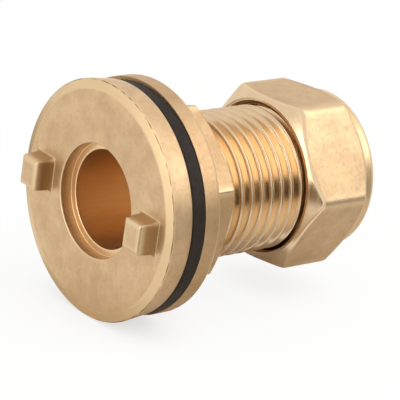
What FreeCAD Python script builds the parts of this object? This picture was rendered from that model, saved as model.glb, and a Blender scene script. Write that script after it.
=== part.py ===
import FreeCAD, Part
import math
import os

from FreeCAD import Vector

# A brass tank connector: a flanged, threaded tube that is clamped through a tank wall by a rubber
# washer and a back nut, with a compression end for a copper pipe.
# Sizes are in millimetres. The axis of the fitting is X. The plane x = 0 is the rear of the flange,
# which seals on the tank wall, and the pipe enters from +X.

# Pipe and thread
pipe_diameter = 15.0
thread_diameter = 20.955
thread_pitch = 1.814
thread_depth_per_pitch = 0.640327
thread_flank_angle = 27.5
thread_start = 1.3
thread_turn = 124.0

# Clearances, all measured on the radius or along the axis
thread_clearance = 0.05
washer_clearance = 0.15
socket_clearance = 0.10
olive_clearance = 0.05
nut_pipe_clearance = 0.25
olive_seat_gap = 0.10
thread_overcut = 0.05

# Flange of the body
flange_diameter = 33.75
flange_thickness = 3.85
flange_bevel_width = 1.35
flange_bevel_depth = 0.4
flange_rim_draft = 6.2
counterbore_diameter = 16.0
counterbore_depth = 1.85
waterway_diameter = 13.9

# Two wrench lugs that stand on the flange's front face
lug_count = 2
lug_height = 2.85
lug_radial_size = 4.15
lug_width = 4.9
lug_draft = 7.0
lug_inset = 1.5
lug_edge_radius = 0.35
lug_turn = 2.6

# Threaded shank and its pipe socket
shank_length = 31.1
shank_tip_relief = 0.1
shank_end_land = 0.3
socket_depth = 10.5
socket_cone_angle = 30.0

# Rubber sealing washer, a little smaller than the flange
washer_inset = 0.45
washer_thickness = 2.1
washer_edge_radius = 0.35

# Flanged back nut, whose disc is between the washer and the flange in size
back_disc_inset = 0.2
back_disc_thickness = 2.75
back_disc_edge_radius = 0.6
back_nut_height = 8.55
back_nut_wall = 1.22
back_nut_edge_radius = 0.5
back_nut_land = 0.9
back_nut_chamfer_angle = 60.0
back_nut_turn = 42.2

# Compression nut
nut_length = 12.95
nut_wall = 1.54
nut_edge_radius = 0.9
nut_front_land = 0.5
nut_front_cone_angle = 54.0
nut_corner_length = 9.1
nut_rear_cone_angle = 53.0
nut_collar_inset = 0.45
nut_collar_radius = 1.2
nut_bore_depth = 9.26
nut_seat_radius = 9.2
nut_seat_angle = 45.0
nut_turn = 0.0

# Mouths of the nuts, flared to start on the thread
mouth_flare = 0.5

# Olive that grips the pipe
olive_length = 5.6
olive_wall = 1.3
olive_end_wall = 0.45
olive_taper_length = 2.0

# Radii and places that follow from the sizes above
thread_radius = thread_diameter / 2
flange_radius = flange_diameter / 2
washer_radius = flange_radius - washer_inset
back_disc_radius = flange_radius - back_disc_inset
thread_depth = thread_depth_per_pitch * thread_pitch
thread_root_radius = thread_radius - thread_depth
thread_flank_slope = math.tan(math.radians(thread_flank_angle))
thread_flat = thread_pitch / 2 - thread_depth * thread_flank_slope
nut_bore = thread_radius + thread_clearance
socket_radius = pipe_diameter / 2 + socket_clearance
olive_bore = pipe_diameter / 2 + olive_clearance
olive_end_radius = olive_bore + olive_end_wall
nut_pipe_hole = pipe_diameter / 2 + nut_pipe_clearance
flange_front = -flange_thickness
shank_tip_chamfer = thread_depth + shank_tip_relief
shank_tip_radius = thread_radius - shank_tip_chamfer
socket_mouth_radius = shank_tip_radius - shank_end_land
socket_slope = math.tan(math.radians(socket_cone_angle))
nut_seat_slope = math.tan(math.radians(nut_seat_angle))
back_nut_start = washer_thickness
olive_start = shank_length - (socket_mouth_radius - olive_end_radius) / socket_slope + olive_seat_gap
olive_end = olive_start + olive_length
nut_seat_reach = (nut_seat_radius - olive_end_radius) / nut_seat_slope
nut_start = olive_end + olive_seat_gap - nut_seat_reach - nut_bore_depth


def around_axis(x, radius, degrees):
    """A point at a distance from the axis, turned from +Y towards +Z."""
    angle = math.radians(degrees)
    return Vector(x, radius * math.cos(angle), radius * math.sin(angle))


def turned(outline):
    """A solid turned about the axis from the (x, radius) corners of half its section."""
    corners = [Vector(x, 0, radius) for x, radius in outline]
    face = Part.Face(Part.makePolygon(corners + corners[:1]))
    return face.revolve(Vector(0, 0, 0), Vector(1, 0, 0), 360)


def rim_edges(solid, x, radius):
    """The circular edges of a turned solid at one place along the axis."""
    return [
        edge for edge in solid.Edges
        if isinstance(edge.Curve, Part.Circle)
        and abs(edge.Curve.Center.x - x) < 1e-6
        and abs(edge.Curve.Radius - radius) < 1e-6
    ]


def hexagon(across_flats, start, length, turn, edge_radius):
    """A hexagonal bar along the axis with softened corners."""
    corner_radius = across_flats / math.sqrt(3)
    corners = [around_axis(start, corner_radius, turn + 60 * k) for k in range(6)]
    bar = Part.Face(Part.makePolygon(corners + corners[:1])).extrude(Vector(length, 0, 0))
    long_edges = [edge for edge in bar.Edges if edge.BoundBox.XLength > length / 2]
    return bar.makeFillet(edge_radius, long_edges)


def lug(turn):
    """A drafted block on the flange's front face, its sides along and across the radius."""
    taper = lug_height * math.tan(math.radians(lug_draft))
    bevel_start = flange_radius - flange_bevel_width
    middle = bevel_start - lug_inset - lug_radial_size / 2
    outlines = []
    for x, shrink in ((flange_front, 0), (flange_front - lug_height, taper)):
        half_radial = lug_radial_size / 2 - shrink
        half_width = lug_width / 2 - shrink
        corners = [
            Vector(x, middle + half_radial * y, half_width * z)
            for y, z in ((-1, -1), (1, -1), (1, 1), (-1, 1))
        ]
        outlines.append(Part.makePolygon(corners + corners[:1]))
    block = Part.makeLoft(outlines, True, True)
    free_edges = [edge for edge in block.Edges if edge.BoundBox.XMin < flange_front - lug_height / 2]
    block = block.makeFillet(lug_edge_radius, free_edges)
    block.rotate(Vector(0, 0, 0), Vector(1, 0, 0), turn)
    return block


def thread_groove():
    """The groove between the thread's ridges, swept along a helix that runs off the shank's tip."""
    outside = thread_radius + thread_overcut
    half_root = thread_flat / 2
    half_mouth = (thread_pitch - thread_flat) / 2 + thread_overcut * thread_flank_slope
    corners = [
        Vector(thread_root_radius, 0, -half_root),
        Vector(outside, 0, -half_mouth),
        Vector(outside, 0, half_mouth),
        Vector(thread_root_radius, 0, half_root),
    ]
    section = Part.makePolygon(corners + corners[:1])
    helix_length = shank_length + thread_pitch - thread_start
    helix_taper = 0
    helix = Part.makeLongHelix(thread_pitch, helix_length, thread_radius, helix_taper)
    groove = Part.Wire(helix.Edges).makePipeShell([section], True, True)
    # The helix was made along Z, and the fitting's axis is X
    groove.rotate(Vector(0, 0, 0), Vector(0, 1, 0), 90)
    groove.rotate(Vector(0, 0, 0), Vector(1, 0, 0), thread_turn)
    groove.translate(Vector(thread_start, 0, 0))
    return groove


def flanged_body():
    rim_length = flange_thickness - flange_bevel_depth
    rim_rear_radius = flange_radius - rim_length * math.tan(math.radians(flange_rim_draft))
    ledge = flange_front + counterbore_depth
    cone_start = shank_length - (socket_mouth_radius - socket_radius) / socket_slope
    pipe_stop = cone_start - socket_depth
    tube = turned([
        (ledge, waterway_diameter / 2),
        (ledge, counterbore_diameter / 2),
        (flange_front, counterbore_diameter / 2),
        (flange_front, flange_radius - flange_bevel_width),
        (flange_front + flange_bevel_depth, flange_radius),
        (0, rim_rear_radius),
        (0, thread_radius),
        (shank_length - shank_tip_chamfer, thread_radius),
        (shank_length, shank_tip_radius),
        (shank_length, socket_mouth_radius),
        (cone_start, socket_radius),
        (pipe_stop, socket_radius),
        (pipe_stop, waterway_diameter / 2),
    ])
    lugs = [lug(lug_turn + 360 * k / lug_count) for k in range(lug_count)]
    return tube.fuse(lugs).removeSplitter().cut(thread_groove())


def sealing_washer():
    outer = washer_radius
    inner = thread_radius + washer_clearance
    ring = turned([(0, inner), (0, outer), (washer_thickness, outer), (washer_thickness, inner)])
    outer_edges = rim_edges(ring, 0, outer) + rim_edges(ring, washer_thickness, outer)
    return ring.makeFillet(washer_edge_radius, outer_edges)


def back_nut():
    start = back_nut_start
    disc_end = start + back_disc_thickness
    end = start + back_nut_height
    across_flats = 2 * (nut_bore + back_nut_wall)
    disc = turned([(start, 0), (start, back_disc_radius), (disc_end, back_disc_radius), (disc_end, 0)])
    disc = disc.makeFillet(back_disc_edge_radius, rim_edges(disc, disc_end, back_disc_radius))
    bar = hexagon(across_flats, start, back_nut_height, back_nut_turn, back_nut_edge_radius)
    # The cone that trims the hexagon's rear corners
    land_radius = nut_bore + mouth_flare + back_nut_land
    cone_length = (back_disc_radius - land_radius) / math.tan(math.radians(back_nut_chamfer_angle))
    trim = turned([
        (start, 0),
        (start, back_disc_radius),
        (end - cone_length, back_disc_radius),
        (end, land_radius),
        (end, 0),
    ])
    bore = turned([
        (start, 0),
        (start, nut_bore + mouth_flare),
        (start + mouth_flare, nut_bore),
        (end - mouth_flare, nut_bore),
        (end, nut_bore + mouth_flare),
        (end, 0),
    ])
    return disc.fuse(bar.common(trim)).cut(bore).removeSplitter()


def compression_nut():
    end = nut_start + nut_length
    across_flats = 2 * (nut_bore + nut_wall)
    reach = across_flats / math.sqrt(3)
    front_radius = nut_bore + mouth_flare + nut_front_land
    front_cone = (reach - front_radius) / math.tan(math.radians(nut_front_cone_angle))
    collar_radius = across_flats / 2 - nut_collar_inset
    corner_end = nut_start + nut_corner_length
    collar_start = corner_end + (reach - collar_radius) / math.tan(math.radians(nut_rear_cone_angle))
    envelope = turned([
        (nut_start, 0),
        (nut_start, front_radius),
        (nut_start + front_cone, reach),
        (corner_end, reach),
        (collar_start, collar_radius),
        (end, collar_radius),
        (end, 0),
    ])
    envelope = envelope.makeFillet(nut_collar_radius, rim_edges(envelope, end, collar_radius))
    bar = hexagon(across_flats, nut_start, nut_length, nut_turn, nut_edge_radius)
    bore_end = nut_start + nut_bore_depth
    seat_end = bore_end + (nut_seat_radius - nut_pipe_hole) / nut_seat_slope
    hollow = turned([
        (nut_start, 0),
        (nut_start, nut_bore + mouth_flare),
        (nut_start + mouth_flare, nut_bore),
        (bore_end, nut_bore),
        (bore_end, nut_seat_radius),
        (seat_end, nut_pipe_hole),
        (end, nut_pipe_hole),
        (end, 0),
    ])
    return bar.common(envelope).cut(hollow).removeSplitter()


def olive():
    outer = olive_bore + olive_wall
    return turned([
        (olive_start, olive_bore),
        (olive_start, olive_end_radius),
        (olive_start + olive_taper_length, outer),
        (olive_end - olive_taper_length, outer),
        (olive_end, olive_end_radius),
        (olive_end, olive_bore),
    ])


pieces = {
    "flanged_body": flanged_body(),
    "sealing_washer": sealing_washer(),
    "back_nut": back_nut(),
    "compression_nut": compression_nut(),
    "olive": olive(),
}

os.makedirs("parts", exist_ok=True)
for name, shape in pieces.items():
    solid = shape.Solids[0]
    print(name, "solids", len(shape.Solids), "valid", solid.isValid(), "volume", round(solid.Volume, 2))
    solid.exportStep("parts/" + name + ".step")
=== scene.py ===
import bpy
import numpy as np
from mathutils import Matrix


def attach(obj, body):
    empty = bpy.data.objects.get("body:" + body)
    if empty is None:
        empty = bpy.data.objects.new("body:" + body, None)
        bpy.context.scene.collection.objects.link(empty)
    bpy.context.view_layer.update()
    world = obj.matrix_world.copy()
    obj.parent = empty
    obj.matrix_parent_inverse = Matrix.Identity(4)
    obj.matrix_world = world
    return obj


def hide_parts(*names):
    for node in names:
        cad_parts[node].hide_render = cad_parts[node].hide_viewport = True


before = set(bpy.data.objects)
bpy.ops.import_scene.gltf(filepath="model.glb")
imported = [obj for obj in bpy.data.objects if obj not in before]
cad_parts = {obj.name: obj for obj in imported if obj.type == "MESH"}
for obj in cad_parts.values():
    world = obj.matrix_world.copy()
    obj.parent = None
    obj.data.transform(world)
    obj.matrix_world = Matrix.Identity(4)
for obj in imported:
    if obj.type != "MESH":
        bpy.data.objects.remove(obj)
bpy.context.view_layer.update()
mm = 0.001
print("frame loaded:", ", ".join(sorted(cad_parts)))


# shared shape functions; all lengths in mm, x runs along the fitting's axis

thread = {  # half inch parallel pipe thread: 55 degree flanks with round crests and roots
    "radius": 10.4775,
    "pitch": 1.814,
    "depthPerPitch": 0.640327,
    "roundPerPitch": 0.137329,
    "flankAngle": 27.5,
    "crestAt": 0.222,  # place of a crest along the axis, on the +Y side
    "nutGap": 0.08,  # room between the nuts' threads and the shank's
    "rowsPerPitch": 18,
}
longestArc = 0.45  # share of a run that the arc in its corner may take up


def smooth(low, high, value):  # 0 below low, 1 above high, an S curve between
    t = np.clip((value - low) / (high - low), 0, 1)
    return t * t * (3 - 2 * t)


def even(count):  # fractions between two ends, evenly spaced
    return np.arange(1, count + 1) / (count + 1)


def spread(count):  # fractions between two ends, closer together near the ends
    return (1 - np.cos(np.pi * even(count))) / 2


def softCorner(before, corner, after, radius, rows):
    # circular arc in a corner: weighted mean of the two tangent points and the corner itself,
    # where the middle weight is the sine of half the corner's angle
    toBefore, toAfter = before - corner, after - corner
    lengthBefore = np.linalg.norm(toBefore, axis=-1, keepdims=True)
    lengthAfter = np.linalg.norm(toAfter, axis=-1, keepdims=True)
    toBefore, toAfter = toBefore / lengthBefore, toAfter / lengthAfter
    half = np.arccos(np.clip((toBefore * toAfter).sum(-1, keepdims=True), -1, 1)) / 2
    reach = np.minimum(radius / np.tan(half), longestArc * np.minimum(lengthBefore, lengthAfter))
    s = np.linspace(0, 1, rows).reshape((rows,) + (1,) * corner.ndim)
    first, middle, last = (1 - s) ** 2, 2 * s * (1 - s) * np.sin(half), s ** 2
    total = first + middle + last
    return (first * (corner + toBefore * reach) + middle * corner + last * (corner + toAfter * reach)) / total


def section(outline, columns, arcRows=5):
    # closed outline of straight runs and soft corners, worked out for every angle at once;
    # each entry is (x, radius, softness, fractions of the rows along the run that follows);
    # gives the rows, the run that each belongs to, and how much each lies over an outward edge
    points = np.array([[np.broadcast_to(v, columns) for v in entry[:2]] for entry in outline], float)
    points = points.transpose(0, 2, 1)
    count = len(outline)
    arcs = [
        softCorner(points[k - 1], points[k], points[(k + 1) % count], outline[k][2], arcRows)
        for k in range(count)
    ]
    rows, runs, rub = [], [], []
    over = np.sin(np.pi * np.linspace(0, 1, arcRows)) ** 0.5
    for k in range(count):
        start, end = arcs[k][-1], arcs[(k + 1) % count][0]
        cuts = np.asarray(outline[k][3])[:, None, None]
        rows += [arcs[k], start + cuts * (end - start)]
        runs += [(k - 1) % count] * (arcRows // 2) + [k] * (arcRows - arcRows // 2 + len(cuts))
        came, goes = (points[k] - points[k - 1])[0], (points[(k + 1) % count] - points[k])[0]
        outward = came[0] * goes[1] - came[1] * goes[0] < 0
        rub += list(over * outward) + [0.0] * len(cuts)
    return np.concatenate(rows), np.array(runs), np.array(rub)


def threadDrop(x, angle):
    # depth of the thread below its crest: the distance along the axis from the nearest crest
    # runs over the crest's arc, down the straight flank and into the root's arc
    pitch, flank = thread["pitch"], np.radians(thread["flankAngle"])
    rounding = thread["roundPerPitch"] * pitch
    depth = thread["depthPerPitch"] * pitch
    turn = (x - thread["crestAt"]) / pitch - angle / (2 * np.pi)
    offset = np.abs(turn - np.round(turn)) * pitch
    rootOffset = pitch / 2 - offset
    tangent = rounding * np.cos(flank)
    crest = rounding - np.sqrt(np.maximum(rounding ** 2 - offset ** 2, 0))
    root = depth - rounding + np.sqrt(np.maximum(rounding ** 2 - rootOffset ** 2, 0))
    side = rounding * (1 - np.sin(flank)) + (offset - tangent) / np.tan(flank)
    return np.where(offset < tangent, crest, np.where(rootOffset < tangent, root, side))


def hexAngles(turn, flatHalf, rounding, flatSteps=11, cornerSteps=6):
    # angles round a hexagon with rounded corners: dense over each corner's arc, spread over each flat
    arcHalf = np.pi / 6 - np.arctan((flatHalf - rounding) * np.tan(np.pi / 6) / flatHalf)
    corner = np.linspace(-arcHalf, arcHalf, cornerSteps + 1)
    flat = arcHalf + (np.pi / 3 - 2 * arcHalf) * spread(flatSteps)
    one = np.concatenate([corner, flat])
    return np.concatenate([one + np.radians(turn) + k * np.pi / 3 for k in range(6)])


def hexRadius(angles, turn, flatHalf, rounding):
    # distance from the axis to a rounded hexagon: the flat's plane, or near a corner the arc
    # whose middle lies on the corner's direction
    fromCorner = np.abs((angles - np.radians(turn) + np.pi / 6) % (np.pi / 3) - np.pi / 6)
    fromFlat = np.pi / 6 - fromCorner
    middle = (flatHalf - rounding) / np.cos(np.pi / 6)
    aside = middle * np.sin(fromCorner)
    arc = middle * np.cos(fromCorner) + np.sqrt(np.maximum(rounding ** 2 - aside ** 2, 0))
    onArc = flatHalf * np.tan(fromFlat) > (flatHalf - rounding) * np.tan(np.pi / 6)
    return np.where(onArc, arc, flatHalf / np.cos(fromFlat))


def hexCorner(reach):  # 1 at a hexagon's corners, 0 over its flats
    return smooth(0.96, 1.0, reach / reach.max())


def aroundAxis(rows, angles):  # section rows of (x, radius) to points (x, y, z)
    x, radius = rows[..., 0], rows[..., 1]
    return np.stack([x, radius * np.cos(angles), radius * np.sin(angles)], -1)


def ringPiece(name, points, finishes, rowFinish, rub=0.0, tarnish=0.0):
    # closed ring of quads from a grid of points that wraps round both ways; rub and tarnish, from 0 to 1,
    # tell the finishes where edges are rubbed bright and where recesses stay brown, and also carry painted
    # light under the thread and painted shade on some flats and in the nut's mouth
    rows, columns = points.shape[:2]
    index = np.arange(rows * columns).reshape(rows, columns)
    right, below = np.roll(index, -1, 1), np.roll(index, -1, 0)
    quads = np.stack([index, right, np.roll(right, -1, 0), below], -1).reshape(-1, 4)
    flat = points.reshape(-1, 3)
    a, b, c, d = (flat[quads[:, k]] for k in range(4))
    volume = (np.cross(b - a, c - a) * a).sum() + (np.cross(c - a, d - a) * a).sum()
    if volume < 0:  # turn the faces outwards
        quads = quads[:, ::-1]
    mesh = bpy.data.meshes.new(name)
    mesh.vertices.add(len(flat))
    mesh.vertices.foreach_set("co", (flat * mm).astype(np.float32).ravel())
    mesh.loops.add(quads.size)
    mesh.loops.foreach_set("vertex_index", np.ascontiguousarray(quads, np.int32).ravel())
    mesh.polygons.add(len(quads))
    mesh.polygons.foreach_set("loop_start", np.arange(0, quads.size, 4, dtype=np.int32))
    mesh.polygons.foreach_set("material_index", np.repeat(rowFinish, columns).astype(np.int32))
    mesh.polygons.foreach_set("use_smooth", np.ones(len(quads), bool))
    for label, value in (("rub", rub), ("tarnish", tarnish)):
        layer = mesh.attributes.new(label, "FLOAT", "POINT")
        layer.data.foreach_set("value", np.broadcast_to(value, points.shape[:2]).astype(np.float32).ravel())
    for finish in finishes:
        mesh.materials.append(finish)
    mesh.update(calc_edges=True)
    mesh.validate()
    piece = bpy.data.objects.new(name, mesh)
    bpy.context.scene.collection.objects.link(piece)
    print(name, "faces", len(quads), "volume mm3", round(abs(volume) / 6, 1))
    return piece


# materials

def hexColour(text):  # sRGB hex to linear red, green, blue, alpha
    s = np.array([int(text[k:k + 2], 16) for k in (0, 2, 4)]) / 255
    linear = np.where(s <= 0.04045, s / 12.92, ((s + 0.055) / 1.055) ** 2.4)
    return (*map(float, linear), 1.0)


def perMm(size):  # texture scale that repeats about every size mm
    return 1 / (size * mm)


def addNode(tree, kind, settings=None, links=None):  # a node with its options, values and links
    node = tree.nodes.new(kind)
    for key, value in (settings or {}).items():
        if isinstance(key, str) and hasattr(node, key):
            setattr(node, key, value)
        else:
            node.inputs[key].default_value = value
    for key, socket in (links or {}).items():
        tree.links.new(socket, node.inputs[key])
    return node


def newFinish(name):
    finish = bpy.data.materials.new(name)
    finish.use_nodes = True
    tree = finish.node_tree
    tree.nodes.clear()
    return finish, tree


noiseSpan = (0.3, 0.7)  # most of a noise pattern's values lie between these


def closeFinish(tree, values, base, colour, pattern, relief, rub=None):
    # what every finish ends with: roughness that follows a pattern between two values, a little less
    # where edges are rubbed, and a fine relief
    low, high = values["roughness"]
    rough = addNode(tree, "ShaderNodeMapRange",
                    {"From Min": noiseSpan[0], "From Max": noiseSpan[1], "To Min": low, "To Max": high},
                    {"Value": pattern}).outputs["Result"]
    if rub is not None:
        rough = addNode(tree, "ShaderNodeMath", {"operation": "MULTIPLY_ADD", 1: -values["rubPolish"]},
                        {0: rub, 2: rough}).outputs["Value"]
    bump = addNode(tree, "ShaderNodeBump", {"Strength": 1.0, "Distance": values["reliefDepth"] * mm},
                   {"Height": relief})
    shader = addNode(tree, "ShaderNodeBsdfPrincipled", base,
                     {"Base Color": colour, "Roughness": rough, "Normal": bump.outputs["Normal"]})
    addNode(tree, "ShaderNodeOutputMaterial", None, {"Surface": shader.outputs["BSDF"]})


forged = {  # hot forged brass, blasted and tumbled
    "colour": "DABB92",
    "stain": "C9A882",
    "speck": "B3A284",
    "tarnish": "A88358",
    "rubbed": "E6CCA2",
    "cloudSize": 3.2,
    "stainSpan": (0.38, 0.68),  # pattern values from no stain to full stain
    "speckSize": 0.45,
    "speckSpan": (0.56, 0.78),
    "speckShare": 0.35,
    "rubShare": 0.6,
    "rubPolish": 0.05,
    "gritSize": 0.26,
    "reliefDepth": 0.016,
    "roughness": (0.42, 0.56),
}


def forgedBrass():
    # hot forged brass, blasted and tumbled: a soft satin glow, cloudy stains, a fine sandy grain,
    # edges rubbed brighter, brown scale left in the recesses and painted shade on one flat of each hexagon
    finish, tree = newFinish("forgedBlastedBrass")
    place = addNode(tree, "ShaderNodeTexCoord").outputs["Object"]
    rub = addNode(tree, "ShaderNodeAttribute", {"attribute_name": "rub"}).outputs["Fac"]
    scaleAndShade = addNode(tree, "ShaderNodeAttribute", {"attribute_name": "tarnish"}).outputs["Fac"]
    cloud = addNode(tree, "ShaderNodeTexNoise",
                    {"Scale": perMm(forged["cloudSize"]), "Detail": 5.0, "Roughness": 0.62},
                    {"Vector": place})
    spots = addNode(tree, "ShaderNodeTexNoise",
                    {"Scale": perMm(forged["speckSize"]), "Detail": 2.0}, {"Vector": place})
    grit = addNode(tree, "ShaderNodeTexNoise",
                   {"Scale": perMm(forged["gritSize"]), "Detail": 3.0, "Roughness": 0.6}, {"Vector": place})
    low, high = forged["stainSpan"]
    stain = addNode(tree, "ShaderNodeMapRange", {"From Min": low, "From Max": high},
                    {"Value": cloud.outputs["Fac"]})
    low, high = forged["speckSpan"]
    speck = addNode(tree, "ShaderNodeMapRange",
                    {"From Min": low, "From Max": high, "To Max": forged["speckShare"]},
                    {"Value": spots.outputs["Fac"]})
    bright = addNode(tree, "ShaderNodeMath", {"operation": "MULTIPLY", 1: forged["rubShare"]}, {0: rub})
    colour = addNode(tree, "ShaderNodeMix", {"data_type": "RGBA", 6: hexColour(forged["colour"]),
                                             7: hexColour(forged["stain"])}, {0: stain.outputs["Result"]})
    colour = addNode(tree, "ShaderNodeMix", {"data_type": "RGBA", 7: hexColour(forged["speck"])},
                     {0: speck.outputs["Result"], 6: colour.outputs[2]})
    # brown scale, and painted shade on the hexagon flats, from the tarnish attribute
    colour = addNode(tree, "ShaderNodeMix", {"data_type": "RGBA", 7: hexColour(forged["tarnish"])},
                     {0: scaleAndShade, 6: colour.outputs[2]})
    colour = addNode(tree, "ShaderNodeMix", {"data_type": "RGBA", 7: hexColour(forged["rubbed"])},
                     {0: bright.outputs["Value"], 6: colour.outputs[2]})
    closeFinish(tree, forged, {"Metallic": 1.0}, colour.outputs[2],
                spots.outputs["Fac"], grit.outputs["Fac"], rub)
    return finish


faced = {  # forged brass skimmed in the lathe, then tumbled
    "colour": "E6CBA0",
    "dull": "DABB90",
    "seam": "7E5F38",
    "lineSize": 0.3,  # drawn coarser than a real tool line so that it shows
    "lineStretch": (1.0, 0.07, 0.07),  # draws the lines out round the axis
    "breakSize": 1.8,
    "breakSpan": (0.38, 0.6),
    "roughness": (0.36, 0.48),
    "reliefDepth": 0.006,
}


def facedBrass():
    # brass skimmed in the lathe and tumbled: paler and yellower than the forging, with soft lines round
    # the axis and a broken dark line of dirt where two cuts meet
    finish, tree = newFinish("latheSkimmedBrass")
    place = addNode(tree, "ShaderNodeTexCoord").outputs["Object"]
    seam = addNode(tree, "ShaderNodeAttribute", {"attribute_name": "tarnish"}).outputs["Fac"]
    breaks = addNode(tree, "ShaderNodeTexNoise",
                     {"Scale": perMm(faced["breakSize"]), "Detail": 1.0}, {"Vector": place})
    low, high = faced["breakSpan"]
    dirt = addNode(tree, "ShaderNodeMapRange", {"From Min": low, "From Max": high},
                   {"Value": breaks.outputs["Fac"]})
    dirt = addNode(tree, "ShaderNodeMath", {"operation": "MULTIPLY"}, {0: seam, 1: dirt.outputs["Result"]})
    stretch = addNode(tree, "ShaderNodeMapping", {"Scale": faced["lineStretch"]}, {"Vector": place})
    lines = addNode(tree, "ShaderNodeTexNoise", {"Scale": perMm(faced["lineSize"]), "Detail": 3.0},
                    {"Vector": stretch.outputs["Vector"]}).outputs["Fac"]
    colour = addNode(tree, "ShaderNodeMix", {"data_type": "RGBA", 6: hexColour(faced["colour"]),
                                             7: hexColour(faced["dull"])}, {0: lines})
    colour = addNode(tree, "ShaderNodeMix", {"data_type": "RGBA", 7: hexColour(faced["seam"])},
                     {0: dirt.outputs["Value"], 6: colour.outputs[2]})
    closeFinish(tree, faced, {"Metallic": 1.0}, colour.outputs[2], lines, lines)
    return finish


turned = {  # free cutting brass, lathe turned
    "colour": "E6CBA7",
    "dull": "DBBC94",
    "tarnish": "7A4F24",
    "rubbedAndLit": "F4DAB6",
    "lineSize": 0.22,  # drawn coarser than a real tool line so that it shows
    "lineStretch": (1.0, 0.06, 0.06),  # draws the lines out round the axis
    "cloudSize": 2.5,
    "roughness": (0.16, 0.27),
    "reliefDepth": 0.004,
}


def turnedBrass():
    # lathe turned brass: bright and yellow, with fine tool lines round the axis, brown where it is
    # tarnished and where shade is painted into the nut's mouth, paler where it is rubbed clean and where
    # light is painted under the thread
    finish, tree = newFinish("latheTurnedBrass")
    place = addNode(tree, "ShaderNodeTexCoord").outputs["Object"]
    brown = addNode(tree, "ShaderNodeAttribute", {"attribute_name": "tarnish"}).outputs["Fac"]
    rub = addNode(tree, "ShaderNodeAttribute", {"attribute_name": "rub"}).outputs["Fac"]
    stretch = addNode(tree, "ShaderNodeMapping", {"Scale": turned["lineStretch"]}, {"Vector": place})
    lines = addNode(tree, "ShaderNodeTexNoise", {"Scale": perMm(turned["lineSize"]), "Detail": 2.0},
                    {"Vector": stretch.outputs["Vector"]}).outputs["Fac"]
    cloud = addNode(tree, "ShaderNodeTexNoise",
                    {"Scale": perMm(turned["cloudSize"]), "Detail": 3.0}, {"Vector": place})
    colour = addNode(tree, "ShaderNodeMix", {"data_type": "RGBA", 6: hexColour(turned["colour"]),
                                             7: hexColour(turned["dull"])}, {0: cloud.outputs["Fac"]})
    # paler on rubbed edges, and painted light under the thread
    colour = addNode(tree, "ShaderNodeMix", {"data_type": "RGBA", 7: hexColour(turned["rubbedAndLit"])},
                     {0: rub, 6: colour.outputs[2]})
    # brown where tarnished, and painted shade in the compression nut's mouth
    colour = addNode(tree, "ShaderNodeMix", {"data_type": "RGBA", 7: hexColour(turned["tarnish"])},
                     {0: brown, 6: colour.outputs[2]})
    closeFinish(tree, turned, {"Metallic": 1.0}, colour.outputs[2], lines, lines)
    return finish


drilled = {  # brass bored with a drill, a little tarnished
    "colour": "FCDDB2",
    "tarnish": "F0C896",
    "streakSize": 0.5,
    "streakStretch": (0.10, 1.0, 1.0),  # draws the streaks out along the hole
    "roughness": (0.30, 0.42),
    "reliefDepth": 0.008,
}


def drilledBrass():
    # drilled brass, a little tarnished: coppery where it mirrors itself, with drag streaks along the hole
    finish, tree = newFinish("drilledTarnishedBrass")
    place = addNode(tree, "ShaderNodeTexCoord").outputs["Object"]
    stretch = addNode(tree, "ShaderNodeMapping", {"Scale": drilled["streakStretch"]}, {"Vector": place})
    streaks = addNode(tree, "ShaderNodeTexNoise", {"Scale": perMm(drilled["streakSize"]), "Detail": 3.0},
                      {"Vector": stretch.outputs["Vector"]}).outputs["Fac"]
    colour = addNode(tree, "ShaderNodeMix", {"data_type": "RGBA", 6: hexColour(drilled["colour"]),
                                             7: hexColour(drilled["tarnish"])}, {0: streaks})
    closeFinish(tree, drilled, {"Metallic": 1.0}, colour.outputs[2], streaks, streaks)
    return finish


rubber = {  # moulded black rubber
    "colour": "150F0A",
    "bloom": "2E2116",
    "patchSize": 1.6,
    "grainSize": 0.35,
    "reliefDepth": 0.02,
    "roughness": (0.50, 0.68),
}


def mouldedRubber():
    # moulded black rubber: near black and dull, with a brownish bloom and a slight grain
    finish, tree = newFinish("mouldedBlackRubber")
    place = addNode(tree, "ShaderNodeTexCoord").outputs["Object"]
    bloom = addNode(tree, "ShaderNodeTexNoise",
                    {"Scale": perMm(rubber["patchSize"]), "Detail": 4.0}, {"Vector": place})
    grain = addNode(tree, "ShaderNodeTexNoise",
                    {"Scale": perMm(rubber["grainSize"]), "Detail": 2.0}, {"Vector": place}).outputs["Fac"]
    colour = addNode(tree, "ShaderNodeMix", {"data_type": "RGBA", 6: hexColour(rubber["colour"]),
                                             7: hexColour(rubber["bloom"])}, {0: bloom.outputs["Fac"]})
    closeFinish(tree, rubber, {"IOR": 1.5, "Specular IOR Level": 0.25}, colour.outputs[2], grain, grain)
    return finish


forgedFinish, facedFinish, turnedFinish = forgedBrass(), facedBrass(), turnedBrass()
drilledFinish, rubberFinish = drilledBrass(), mouldedRubber()
print("materials made")


# flanged body: flange with lugs, threaded shank, stepped water passage

flange = {
    "front": -3.85,
    "radius": 16.875,
    "rearRadius": 16.5,
    "bevelWidth": 1.35,
    "bevelDepth": 0.4,
    "counterbore": 8.0,
    "counterboreTarnish": 0.15,
    "ledge": -2.0,
    "waterway": 6.95,
    "seamHalf": 0.05,  # half width of the dirty line between bevel and rim
    "gapColumns": 66,  # columns of the grid from one lug to the other
}
lugs = {
    "turn": 2.6,
    "height": 2.85,
    "middle": 11.95,  # distance of a lug's middle from the axis
    "radialHalf": 2.075,
    "widthHalf": 2.45,
    "draft": 7.0,
    "rootRadius": 0.18,
    "edgeRadius": 0.45,
    "cornerSize": 0.75,
    "wallTarnish": 0.95,
    "upperWallLight": 0.35,  # painted light: how much lighter the upper walls are
    "upperSpan": (0.8, 0.3),  # where that starts and is full, inwards from the lug's side
    "footSpan": 0.08,  # the walls' tarnish starts over this height
    "tipSpan": (0.02, 0.4),  # and ends this far below the tip
    "gridAngle": (0.46, 0.26),  # radians from a lug's middle over which the face's grid turns square,
    "gridInner": (8.2, 9.6),  # and distances from the axis
    "gridOuter": (15.2, 14.6),
}
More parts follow.
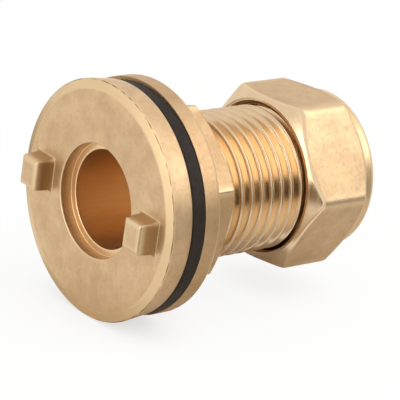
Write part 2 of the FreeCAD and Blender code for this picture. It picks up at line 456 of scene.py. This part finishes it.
shank = {
    "length": 31.1,
    "chamfer": 1.2616,
    "mouth": 8.9163,
    "pipeRadius": 7.6,
    "pipeStop": 18.32,
    "coneStart": 28.82,
    "runOut": (0.6, 2.0),  # the thread fades in behind the flange
    "crestTarnish": 0.16,
    "crestSpan": (0.4, 0.05),  # depths below the crest from clean to tarnished
    "underLight": 0.9,  # painted light: the thread is paler underneath,
    "underLightStart": (0.1, -0.35),  # between these sines of the angle round it
    "underLightEnd": (-0.82, -0.52),
}


def lugSide(half):
    # section across a lug: drafted walls with a soft foot and rounded edges; gives distances from the
    # lug's middle, heights over the flange's face, and which points lie on the rounded edges
    taper = lugs["height"] * np.tan(np.radians(lugs["draft"]))
    far, foot, top, crown = (np.array(p) for p in (
        (half + 1, 0.0), (half, 0.0), (half - taper, lugs["height"]), (0.0, lugs["height"])))
    root = softCorner(far, foot, top, lugs["rootRadius"], 4)
    edge = softCorner(foot, top, crown, lugs["edgeRadius"], 5)
    wall = root[-1] + even(2)[:, None] * (edge[0] - root[-1])
    tip = edge[-1] * np.array([[0.66, 1.0], [0.33, 1.0]])  # two rows across half the tip
    side = np.concatenate([root, wall, edge, tip])
    offsets = np.concatenate([-side[:, 0], [0.0], side[::-1, 0]])
    heights = np.concatenate([side[:, 1], [lugs["height"]], side[::-1, 1]])
    onEdge = np.repeat([0.0, 1.0, 0.0], [len(root) + len(wall), len(edge), len(tip)])
    return offsets, heights, np.concatenate([onEdge, [0.0], onEdge[::-1]])


def flangedBody():
    # outline of flange, shank and water passage turned round the axis; on the shank the thread's depth
    # is taken off the radius
    across, acrossHeight, acrossEdge = lugSide(lugs["widthHalf"])
    along, alongHeight, alongEdge = lugSide(lugs["radialHalf"])
    lugAngles = across / lugs["middle"]
    edge = lugAngles[-1]
    gap = edge + (np.pi - 2 * edge) * even(flange["gapColumns"])
    fromLug = np.concatenate([lugAngles, gap])  # angle from the lug's middle line
    noLug = np.zeros_like(gap)
    columnHeight, columnEdge = (np.tile(np.concatenate([v, noLug]), 2) for v in (acrossHeight, acrossEdge))
    turn = np.radians(lugs["turn"])
    angles = np.concatenate([fromLug, fromLug + np.pi]) + turn
    fromLug = np.tile(np.where(fromLug > np.pi / 2, fromLug - np.pi, fromLug), 2)
    side = np.sign(np.cos(angles - turn))

    # rings of the flange's face: inside the lugs, over them, and out to just short of the bevel
    bevelStart = flange["radius"] - flange["bevelWidth"]
    inside, overLug, outside = lugs["gridInner"][0], lugs["middle"] + along, bevelStart - 0.1
    insideRows, outsideRows = 6, 4
    faceRows = np.concatenate([
        inside + (overLug[0] - inside) * even(insideRows),
        overLug,
        overLug[-1] + (outside - overLug[-1]) * even(outsideRows),
    ])
    rowHeight, rowEdge = (np.pad(v, (insideRows, outsideRows))[:, None] for v in (alongHeight, alongEdge))
    threadRows = int(round((shank["length"] - shank["chamfer"]) / thread["pitch"] * thread["rowsPerPitch"]))
    crest, tip = thread["radius"], thread["radius"] - shank["chamfer"]
    outline = [
        (shank["pipeStop"], flange["waterway"], 0.10, even(24)),
        (flange["ledge"], flange["waterway"], 0.12, even(3)),
        (flange["ledge"], flange["counterbore"], 0.10, even(4)),
        (flange["front"], flange["counterbore"], 0.18, even(len(faceRows))),
        (flange["front"], bevelStart, 1.2, spread(5)),
        (flange["front"] + flange["bevelDepth"], flange["radius"], 0.22, spread(7)),
        (0.0, flange["rearRadius"], 0.15, spread(8)),
        (0.0, crest, 0.15, even(threadRows)),
        (shank["length"] - shank["chamfer"], crest, 0.05, even(12)),
        (shank["length"], tip, 0.06, even(2)),
        (shank["length"], shank["mouth"], 0.08, even(5)),
        (shank["coneStart"], shank["pipeRadius"], 0.10, even(12)),
        (shank["pipeStop"], shank["pipeRadius"], 0.10, even(2)),
    ]
    counterboreRun, faceRun, bevelRun, rimRun = 2, 3, 4, 5  # places in the outline
    threadRuns, turnedRuns = (7, 8), (6, 7, 8, 9)
    rows, runs, rub = section(outline, len(angles))
    x, radius = rows[..., 0], rows[..., 1]
    drop = threadDrop(x, angles) * smooth(*shank["runOut"], x)
    onThread = np.isin(runs, threadRuns)[:, None]
    rows[..., 1] = np.where(onThread, np.minimum(radius, thread["radius"] - drop), radius)
    tarnish = np.where(onThread, smooth(*shank["crestSpan"], drop) * shank["crestTarnish"], 0)
    seam = np.abs(x - flange["front"] - flange["bevelDepth"]) < flange["seamHalf"]
    tarnish = np.where(np.isin(runs, (bevelRun, rimRun))[:, None] & seam, 1.0, tarnish)
    points = aroundAxis(rows, angles)

    # the flange's face is laid out in plan: polar rings that straighten into a square grid round each
    # lug, with the lug's height as the lower of its two sides' heights
    ring, phi = faceRows[:, None], fromLug[None, :]
    blend = smooth(*lugs["gridInner"], ring) * smooth(*lugs["gridOuter"], ring)
    blend = smooth(*lugs["gridAngle"], np.abs(phi)) * blend
    outward = ring * np.cos(phi) * (1 - blend) + ring * blend
    sideways = ring * np.sin(phi) * (1 - blend) + lugs["middle"] * phi * blend
    size = lugs["cornerSize"]
    p = (np.abs(outward - lugs["middle"]) - lugs["radialHalf"] + size) / size
    q = (np.abs(sideways) - lugs["widthHalf"] + size) / size
    inCorner = (p > 0) & (q > 0) & (p <= 1) & (q <= 1)  # rounds the lug's upright edges, square to disc
    inwards = size * p * (1 - np.sqrt(1 - q * q / 2))
    outward -= np.where(inCorner, np.sign(outward - lugs["middle"]) * inwards, 0)
    inwards = size * q * (1 - np.sqrt(1 - p * p / 2))
    sideways -= np.where(inCorner, np.sign(sideways) * inwards, 0)
    height = np.minimum(rowHeight, columnHeight)
    y, z = side * outward, side * sideways
    first = np.flatnonzero(runs == faceRun)[0] + 3  # rows 0 to 2 of the run are the end of the mouth's arc
    onFace = slice(first, first + len(faceRows))
    face = points[onFace]
    face[..., 0] = flange["front"] - height
    face[..., 1] = y * np.cos(turn) - z * np.sin(turn)
    face[..., 2] = y * np.sin(turn) + z * np.cos(turn)

    # brown lug walls with bright edges and painted light on the upper walls, a dull counterbore, painted
    # light under the thread
    # painted light: the upward-facing lug walls are left lighter than the lower ones
    start, full = lugs["upperSpan"]
    upper = smooth(lugs["widthHalf"] - start, lugs["widthHalf"] - full, z)
    start, full = (lugs["height"] - below for below in lugs["tipSpan"])
    walls = smooth(0.0, lugs["footSpan"], height) * smooth(start, full, height)
    tarnish[onFace] = (lugs["wallTarnish"] - lugs["upperWallLight"] * upper) * walls
    tarnish = np.where((runs == counterboreRun)[:, None], flange["counterboreTarnish"], tarnish)
    # painted light: the thread's underside is made paler through the rub attribute
    low = smooth(*shank["underLightStart"], np.sin(angles)) * smooth(*shank["underLightEnd"], np.sin(angles))
    rub = np.where(onThread, shank["underLight"] * low, rub[:, None])
    nearTop = lugs["height"] - lugs["edgeRadius"]
    rub[onFace] = np.maximum(rowEdge * (columnHeight > nearTop), columnEdge * (rowHeight > nearTop))

    finishes = [forgedFinish, turnedFinish, drilledFinish, facedFinish]
    forgedRuns = (counterboreRun, faceRun, rimRun)
    finish = np.select([np.isin(runs, turnedRuns), runs == bevelRun, np.isin(runs, forgedRuns)], [1, 3, 0], 2)
    return ringPiece("flanged_body_brass", points, finishes, finish, rub, tarnish)


bodyPiece = flangedBody()
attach(bodyPiece, "connector_body")
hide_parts("flanged_body")


# rubber sealing washer

washer = {
    "inner": 11.0,
    "outer": 16.26,
    "shift": (-0.42, 0.0),  # the washer is loose on the thread and lies a little towards -Y
    "thickness": 2.1,
    "edgeRadius": 0.25,
    "columns": 144,
}


def sealingWasher():
    # rectangle with soft corners turned round the axis, then moved aside
    angles = np.linspace(0, 2 * np.pi, washer["columns"], endpoint=False)
    outline = [
        (0.0, washer["inner"], 0.12, spread(8)),
        (0.0, washer["outer"], washer["edgeRadius"], spread(4)),
        (washer["thickness"], washer["outer"], washer["edgeRadius"], spread(8)),
        (washer["thickness"], washer["inner"], 0.12, spread(4)),
    ]
    rows, runs, _ = section(outline, len(angles))
    points = aroundAxis(rows, angles)
    points[..., 1:] += washer["shift"]
    return ringPiece("sealing_washer_rubber", points, [rubberFinish], np.zeros(len(runs)))


washerPiece = sealingWasher()
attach(washerPiece, "washer")
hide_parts("sealing_washer")


# flanged back nut

backNut = {
    "start": 2.1,
    "discEnd": 4.85,
    "discRadius": 16.675,
    "discFront": 0.05,
    "discRear": 0.6,
    "end": 10.65,
    "flatHalf": 11.7475,
    "cornerRadius": 0.5,
    "turn": 42.2,
    "land": 11.9275,
    "chamferAngle": 60.0,
    "edgeBreak": (0.07, 0.12),  # least length and width of the chamfer, over the flats' middles
    "flare": 0.5,
    "footRadius": 0.4,
    "fade": (0.3, 1.5),  # the inner thread fades in from both ends
    "tarnish": 0.36,
    "shadedFlat": 2,  # painted shade: one flat, facing -Y and a little down towards the floor, is darker
    "flatShade": 0.2,
}


def flangedBackNut():
    # outline of disc and hexagon turned round the axis: on the hexagon the radius is the distance to its
    # side at each angle, and in the bore the thread's depth is taken off the radius
    angles = hexAngles(backNut["turn"], backNut["flatHalf"], backNut["cornerRadius"])
    reach = hexRadius(angles, backNut["turn"], backNut["flatHalf"], backNut["cornerRadius"])
    bore = thread["radius"] + thread["nutGap"]
    slope = np.tan(np.radians(backNut["chamferAngle"]))
    start, end = backNut["start"], backNut["end"]
    leastLength, leastWidth = backNut["edgeBreak"]
    chamfer = np.minimum(end - (reach - backNut["land"]) / slope, end - leastLength)
    land = np.minimum(backNut["land"], reach - leastWidth)
    boreRows = int(round((end - start) / thread["pitch"] * thread["rowsPerPitch"]))
    outline = [
        (start, bore + backNut["flare"], 0.05, spread(10)),
        (start, backNut["discRadius"], backNut["discFront"], spread(5)),
        (backNut["discEnd"], backNut["discRadius"], backNut["discRear"], spread(8)),
        (backNut["discEnd"], reach, backNut["footRadius"], spread(9)),
        (chamfer, reach, 0.22, spread(4)),
        (end, land, 0.12, spread(3)),
        (end, bore + backNut["flare"], 0.05, even(3)),
        (end - backNut["flare"], bore, 0.05, even(boreRows)),
        (start + backNut["flare"], bore, 0.05, even(3)),
    ]
    hexRuns, boreRun, turnedRuns = (3, 4), 7, (6, 7, 8)  # places in the outline
    rows, runs, rub = section(outline, len(angles))
    x = rows[..., 0]
    near, far = backNut["fade"]
    fade = smooth(start + near, start + far, x) * smooth(end - near, end - far, x)
    rows[..., 1] -= np.where((runs == boreRun)[:, None], threadDrop(x, angles) * fade, 0)
    onHex = np.isin(runs, hexRuns)[:, None]
    rearEdge = (x > start + 1.0) & (x < backNut["discEnd"] + 0.1)  # of the disc, which is rubbed there
    rub = np.maximum(rub[:, None] * rearEdge, np.where(onHex, hexCorner(reach), 0))
    flat = np.floor((np.degrees(angles) - backNut["turn"]) / 60)
    # painted shade on the lower flat that faces -Y
    brown = onHex & (flat == backNut["shadedFlat"])
    tarnish = backNut["tarnish"] + np.where(brown, backNut["flatShade"], 0)
    finish = np.where(np.isin(runs, turnedRuns), 1, 0)
    finishes = [forgedFinish, turnedFinish]
    return ringPiece("back_nut_brass", aroundAxis(rows, angles), finishes, finish, rub, tarnish)


backNutPiece = flangedBackNut()
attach(backNutPiece, "back_nut")
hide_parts("back_nut")


# compression nut

nut = {
    "start": 24.853,
    "end": 37.803,
    "flatHalf": 12.0675,
    "cornerRadius": 1.3,
    "turn": 0.0,
    "frontRadius": 11.45,
    "frontAngle": 57.5,
    "cornerEnd": 33.953,
    "rearAngle": 53.0,
    "collar": 11.6175,
    "collarRound": 1.2,
    "boreEnd": 34.113,
    "seatRadius": 9.2,
    "pipeHole": 7.75,
    "flare": 0.5,
    "fadeFront": (0.3, 1.5),  # the inner thread fades in from both ends
    "fadeRear": (0.4, 2.0),
    "edgeRub": 0.3,
    "mouthShade": 0.5,  # painted shade in the gap round the shank, darkest at the very mouth, and none this far in
    "mouthReach": 4.0,
    "topFlatShade": 0.2,  # painted shade: the top flat is darker, between these sines of the angle round it
    "topSpan": (0.8, 0.88),
}


def compressionNut():
    # outline of a hexagon between two cones turned round the axis: the flats start and end where the
    # cones have the hexagon's radius at each angle, and the bore has the thread's depth taken off
    angles = hexAngles(nut["turn"], nut["flatHalf"], nut["cornerRadius"])
    reach = hexRadius(angles, nut["turn"], nut["flatHalf"], nut["cornerRadius"])
    sharp = nut["flatHalf"] / np.cos(np.pi / 6)
    bore = thread["radius"] + thread["nutGap"]
    frontSlope, rearSlope = (np.tan(np.radians(nut[key])) for key in ("frontAngle", "rearAngle"))
    flatStart = nut["start"] + (reach - nut["frontRadius"]) / frontSlope
    flatEnd = nut["cornerEnd"] + (sharp - reach) / rearSlope
    collarStart = nut["cornerEnd"] + (sharp - nut["collar"]) / rearSlope
    seatEnd = nut["boreEnd"] + nut["seatRadius"] - nut["pipeHole"]
    boreRows = int(round((nut["boreEnd"] - nut["start"]) / thread["pitch"] * thread["rowsPerPitch"]))
    outline = [
        (nut["start"], bore + nut["flare"], 0.05, even(2)),
        (nut["start"], nut["frontRadius"], 0.15, spread(5)),
        (flatStart, reach, 0.9, spread(12)),
        (flatEnd, reach, 0.6, spread(4)),
        (collarStart, nut["collar"], 0.6, spread(4)),
        (nut["end"], nut["collar"], nut["collarRound"], spread(8)),
        (nut["end"], nut["pipeHole"], 0.3, even(4)),
        (seatEnd, nut["pipeHole"], 0.08, even(4)),
        (nut["boreEnd"], nut["seatRadius"], 0.05, even(2)),
        (nut["boreEnd"], bore, 0.1, even(boreRows)),
        (nut["start"] + nut["flare"], bore, 0.05, even(3)),
    ]
    hexRun, boreRun, mouthRuns = 2, 9, (9, 10)  # places in the outline
    turnedRuns, facedRuns = (0, 1, 6, 7, 8, 9, 10), (3, 4, 5)
    rows, runs, rub = section(outline, len(angles), 6)
    x = rows[..., 0]
    near, far = nut["fadeFront"]
    fade = smooth(nut["start"] + near, nut["start"] + far, x)
    near, far = nut["fadeRear"]
    fade = fade * smooth(nut["boreEnd"] - near, nut["boreEnd"] - far, x)
    rows[..., 1] -= np.where((runs == boreRun)[:, None], threadDrop(x, angles) * fade, 0)
    onHex = (runs == hexRun)[:, None]
    rub = np.maximum(nut["edgeRub"] * rub[:, None], np.where(onHex, hexCorner(reach), 0))
    # painted shade: the nut's mouth and the start of its bore are darkened where the gap round the shank lies
    # in shade
    inMouth = np.isin(runs, mouthRuns)[:, None]
    mouth = smooth(nut["start"] + nut["mouthReach"], nut["start"], x) * nut["mouthShade"]
    tarnish = np.where(inMouth, mouth, 0)
    # painted shade on the top flat
    tarnish = np.where(onHex, nut["topFlatShade"] * smooth(*nut["topSpan"], np.sin(angles)), tarnish)
    finish = np.select([np.isin(runs, turnedRuns), np.isin(runs, facedRuns)], [1, 2], 0)
    finishes = [forgedFinish, turnedFinish, facedFinish]
    return ringPiece("compression_nut_brass", aroundAxis(rows, angles), finishes, finish, rub, tarnish)


nutPiece = compressionNut()
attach(nutPiece, "compression_nut")
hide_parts("compression_nut")


# olive

olive = {
    "start": 29.613,
    "length": 5.6,
    "bore": 7.55,
    "endRadius": 8.0,
    "outer": 8.85,
    "taper": 2.0,
    "crown": 2.0,
    "columns": 120,
}


def pipeOlive():
    # outline of two tapers with a round crown turned round the axis
    angles = np.linspace(0, 2 * np.pi, olive["columns"], endpoint=False)
    start, end = olive["start"], olive["start"] + olive["length"]
    outline = [
        (start, olive["bore"], 0.08, even(2)),
        (start, olive["endRadius"], 0.08, spread(5)),
        (start + olive["taper"], olive["outer"], olive["crown"], spread(4)),
        (end - olive["taper"], olive["outer"], olive["crown"], spread(5)),
        (end, olive["endRadius"], 0.08, even(2)),
        (end, olive["bore"], 0.08, even(8)),
    ]
    rows, runs, _ = section(outline, len(angles))
    return ringPiece("olive_brass", aroundAxis(rows, angles), [turnedFinish], np.zeros(len(runs)))


olivePiece = pipeOlive()
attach(olivePiece, "olive")
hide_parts("olive")


# floor, light and camera

studio = {
    "floorHeight": -16.9,
    "floorHalf": 900.0,
    "floorColour": "FAFAF8",
    "floorGlow": 0.89,
    "shadowPaintReach": 6.0,  # painted contact shadow: the floor's glow is lessened where the part is this close
    "shadowPaintDepth": 0.28,
    "shadowPaintSamples": 16,
    "whiteFrom": (90.0, 260.0),  # distance over which the paper turns wholly white
    "skyForLight": 0.75,
    "cardMiddle": 14.0,  # place along the axis that the cards stand round
    "cardColumns": 25,
}


def seenDirectly(tree):  # 1 where the camera, a mirror or glass looks
    path = addNode(tree, "ShaderNodeLightPath")
    seen = addNode(tree, "ShaderNodeMath", {"operation": "MAXIMUM"},
                   {0: path.outputs["Is Camera Ray"], 1: path.outputs["Is Glossy Ray"]})
    seen = addNode(tree, "ShaderNodeMath", {"operation": "MAXIMUM"},
                   {0: seen.outputs["Value"], 1: path.outputs["Is Transmission Ray"]})
    return seen.outputs["Value"]


def paleFloor():
    # flat square sheet under the part: height is the same everywhere
    side = np.array([-1.0, 1.0]) * studio["floorHalf"]
    x, y = np.meshgrid(side, side)
    corners = np.stack([x, y, np.full_like(x, studio["floorHeight"])], -1).reshape(-1, 3) * mm
    mesh = bpy.data.meshes.new("floor")
    mesh.from_pydata(corners.tolist(), [], [(0, 1, 3, 2)])
    finish, tree = newFinish("whitePaper")  # matt white paper that glows white where the camera, mirrors and glass look, so that the shadow stays faint
    paper = addNode(tree, "ShaderNodeBsdfDiffuse", {"Color": hexColour(studio["floorColour"])})
    glow = addNode(tree, "ShaderNodeEmission", {"Color": (1.0, 1.0, 1.0, 1.0), "Strength": 1.0})
    place = addNode(tree, "ShaderNodeTexCoord").outputs["Object"]
    away = addNode(tree, "ShaderNodeVectorMath", {"operation": "LENGTH"}, {0: place})
    near, far = studio["whiteFrom"]
    glowing = addNode(tree, "ShaderNodeMapRange", {"interpolation_type": "SMOOTHSTEP", "From Min": near * mm,
                                                   "From Max": far * mm, "To Min": studio["floorGlow"]},
                      {"Value": away.outputs["Value"]})
    # painted contact shadow: ambient occlusion lessens the glow near the part
    clear = addNode(tree, "ShaderNodeAmbientOcclusion",
                    {"samples": studio["shadowPaintSamples"], "Distance": studio["shadowPaintReach"] * mm})
    paintedShadow = addNode(tree, "ShaderNodeMapRange", {"To Min": 1 - studio["shadowPaintDepth"], "To Max": 1.0},
                      {"Value": clear.outputs["AO"]})
    glowing = addNode(tree, "ShaderNodeMath", {"operation": "MULTIPLY"},
                      {0: glowing.outputs["Result"], 1: paintedShadow.outputs["Result"]})
    share = addNode(tree, "ShaderNodeMath", {"operation": "MULTIPLY"},
                    {0: seenDirectly(tree), 1: glowing.outputs["Value"]})
    shader = addNode(tree, "ShaderNodeMixShader", None,
                     {0: share.outputs["Value"], 1: paper.outputs["BSDF"], 2: glow.outputs["Emission"]})
    addNode(tree, "ShaderNodeOutputMaterial", None, {"Surface": shader.outputs["Shader"]})
    mesh.materials.append(finish)
    floor = bpy.data.objects.new("floor", mesh)
    bpy.context.scene.collection.objects.link(floor)


def whiteSky():
    # white where the camera, mirrors and glass look, dimmer as a light
    world = bpy.data.worlds.new("studioWhite")
    bpy.context.scene.world = world
    world.use_nodes = True
    tree = world.node_tree
    tree.nodes.clear()
    level = addNode(tree, "ShaderNodeMapRange", {"To Min": studio["skyForLight"], "To Max": 1.0},
                    {"Value": seenDirectly(tree)})
    sky = addNode(tree, "ShaderNodeBackground", {"Color": (1.0, 1.0, 1.0, 1.0)},
                  {"Strength": level.outputs["Result"]})
    addNode(tree, "ShaderNodeOutputWorld", None, {"Surface": sky.outputs["Background"]})


softBoxes = {  # place and size in mm, power in watts
    "leftBox": {"place": (-470.0, -40.0, 72.0), "size": 362.0, "power": 0.89},
    "rightBox": {"place": (330.0, -340.0, 300.0), "size": 440.0, "power": 0.90},
    "topBox": {"place": (120.0, -160.0, 540.0), "size": 340.0, "power": 0.47},
}
# painted reflections: cards that only mirror rays see; the standing cards darken what the metal mirrors
cards = {  # studio cards that only the metal mirrors: bearing from and to in degrees,
    # then distance and height in mm of the lower and upper, or inner and outer, edge
    "blackCard": {"colour": "2A2826", "bearing": (-72.0, -46.5), "profile": ((59.0, -16.8), (60.0, 16.0))},
    "collarCard": {"colour": "46413A", "bearing": (-41.5, -30.0), "profile": ((59.0, -16.8), (60.0, 16.0))},
    "leftCard": {"colour": "9A9080", "bearing": (75.0, 120.0), "profile": ((56.0, -16.8), (60.0, 4.0))},
    "sideCard": {"colour": "D6D1C8", "bearing": (-100.0, -70.0), "profile": ((60.0, -16.8), (66.0, 2.0))},
    "cornerCard": {"colour": "8A7C62", "bearing": (-152.0, -124.0), "profile": ((45.0, -16.8), (50.0, 1.0))},
    # painted shade: cards lying on the floor that grey it round the part where the metal mirrors it
    "discShadeCard": {"colour": "DAD5CC", "bearing": (-100.0, -74.0), "profile": ((26.0, -16.85), (58.0, -16.85))},
    "nutShadeCard": {"colour": "E2DED8", "bearing": (-50.0, -12.0), "profile": ((26.0, -16.85), (58.0, -16.85))},
    "underShadeCard": {"colour": "D8D2C8", "bearing": (-50.0, 130.0), "profile": ((1.0, -16.88), (26.0, -16.88))},
    "flangeShadeCard": {"colour": "ECE8E0", "bearing": (130.0, 250.0), "profile": ((1.0, -16.88), (26.0, -16.88))},
    "hexShadeCard": {"colour": "D2CCC0", "bearing": (250.0, 286.0), "profile": ((1.0, -16.88), (26.0, -16.88))},
}


def softLight(name, place, size, power):  # square lamp that faces the part
    lamp = bpy.data.lights.new(name, "AREA")
    lamp.size = size * mm
    lamp.energy = power
    light = bpy.data.objects.new(name, lamp)
    back = np.array(place, float)
    back /= np.linalg.norm(back)
    right = np.cross((0.0, 0.0, 1.0), back)
    right /= np.linalg.norm(right)
    aim(light, place, right, np.cross(back, right), back)
    bpy.context.scene.collection.objects.link(light)


def mirrorCard(name, colour, bearing, profile):
    # band that stands round the part's middle: its two edges' distance and height carried over the bearing
    columns = studio["cardColumns"]
    angles = np.radians(np.linspace(*bearing, columns))
    distance, height = (np.array([edge[k] for edge in profile])[:, None] for k in (0, 1))
    x, y = studio["cardMiddle"] + distance * np.cos(angles), distance * np.sin(angles)
    points = np.stack([x, y, np.broadcast_to(height, x.shape)], -1).reshape(-1, 3) * mm
    left = np.arange(columns - 1)
    quads = np.stack([left, left + 1, left + columns + 1, left + columns], -1)
    mesh = bpy.data.meshes.new(name)
    mesh.from_pydata(points.tolist(), [], quads.tolist())
    finish, tree = newFinish(name + "Paper")  # matt card
    shader = addNode(tree, "ShaderNodeBsdfDiffuse", {"Color": hexColour(colour)})
    addNode(tree, "ShaderNodeOutputMaterial", None, {"Surface": shader.outputs["BSDF"]})
    mesh.materials.append(finish)
    card = bpy.data.objects.new(name, mesh)
    bpy.context.scene.collection.objects.link(card)
    card.visible_camera = card.visible_diffuse = card.visible_shadow = False


def aim(item, place, right, up, back):  # puts a lamp or camera at a place in mm, with its own three axes
    matrix = np.eye(4)
    matrix[:3, 0], matrix[:3, 1], matrix[:3, 2] = right, up, back
    matrix[:3, 3] = np.array(place) * mm
    item.matrix_world = Matrix(matrix.tolist())


view = {  # the photograph's viewpoint, in mm, for a 400 by 400 picture
    "place": (-199.739, -246.963, 109.889),
    "right": (0.77422, -0.62330, 0.10990),
    "up": (0.12368, 0.31931, 0.93955),
    "lens": 219.97,
}


def photoCamera():
    camera = bpy.data.cameras.new("photoCamera")
    camera.sensor_width = 36.0
    camera.lens = view["lens"]
    camera.clip_start, camera.clip_end = 0.01, 10.0
    item = bpy.data.objects.new("photoCamera", camera)
    right, up = np.array(view["right"]), np.array(view["up"])
    aim(item, view["place"], right, up, np.cross(right, up))
    bpy.context.scene.collection.objects.link(item)
    bpy.context.scene.camera = item


paleFloor()
whiteSky()
for name, box in softBoxes.items():
    softLight(name, **box)
for name, card in cards.items():
    mirrorCard(name, **card)
photoCamera()
bpy.context.scene.view_settings.view_transform = "Standard"
print("floor, light and camera set")
